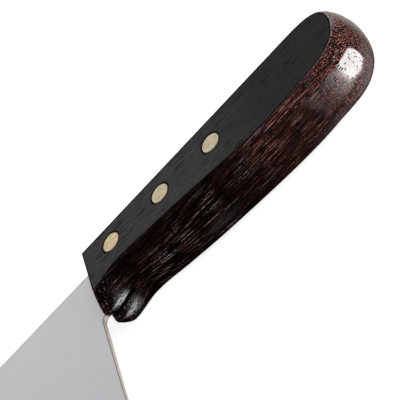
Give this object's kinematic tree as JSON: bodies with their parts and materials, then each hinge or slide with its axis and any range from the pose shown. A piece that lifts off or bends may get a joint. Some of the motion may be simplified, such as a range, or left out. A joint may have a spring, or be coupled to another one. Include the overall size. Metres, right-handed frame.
{
  "type": "chinese cleaver",
  "caption": "Broad rectangular kitchen cleaver with a full-height ground blade and a riveted hardwood handle with flat sides and a rounded belly.",
  "frame": {"origin": "on the handle's lower flat side, halfway between the middle and the rear rivet", "axes": "+X along the knife from the blade to the handle's butt, +Y from the cutting edge to the spine, +Z square to the blade, away from the side it lies on"},
  "size_m": [0.3245, 0.1111, 0.0164],
  "materials": {
    "blade_steel": "fine satin grind",
    "handle_wood": "dark open-pored rosewood, satin on the belly and ground matte on the flats",
    "rivet_brass": "ground flush, matte"
  },
  "bodies": {
    "root": {"blade": "blade_steel", "handle": "handle_wood", "rivet_front_female": "rivet_brass", "rivet_front_male": "rivet_brass", "rivet_middle_female": "rivet_brass", "rivet_middle_male": "rivet_brass", "rivet_rear_female": "rivet_brass", "rivet_rear_male": "rivet_brass"}
  },
  "joints": []
}
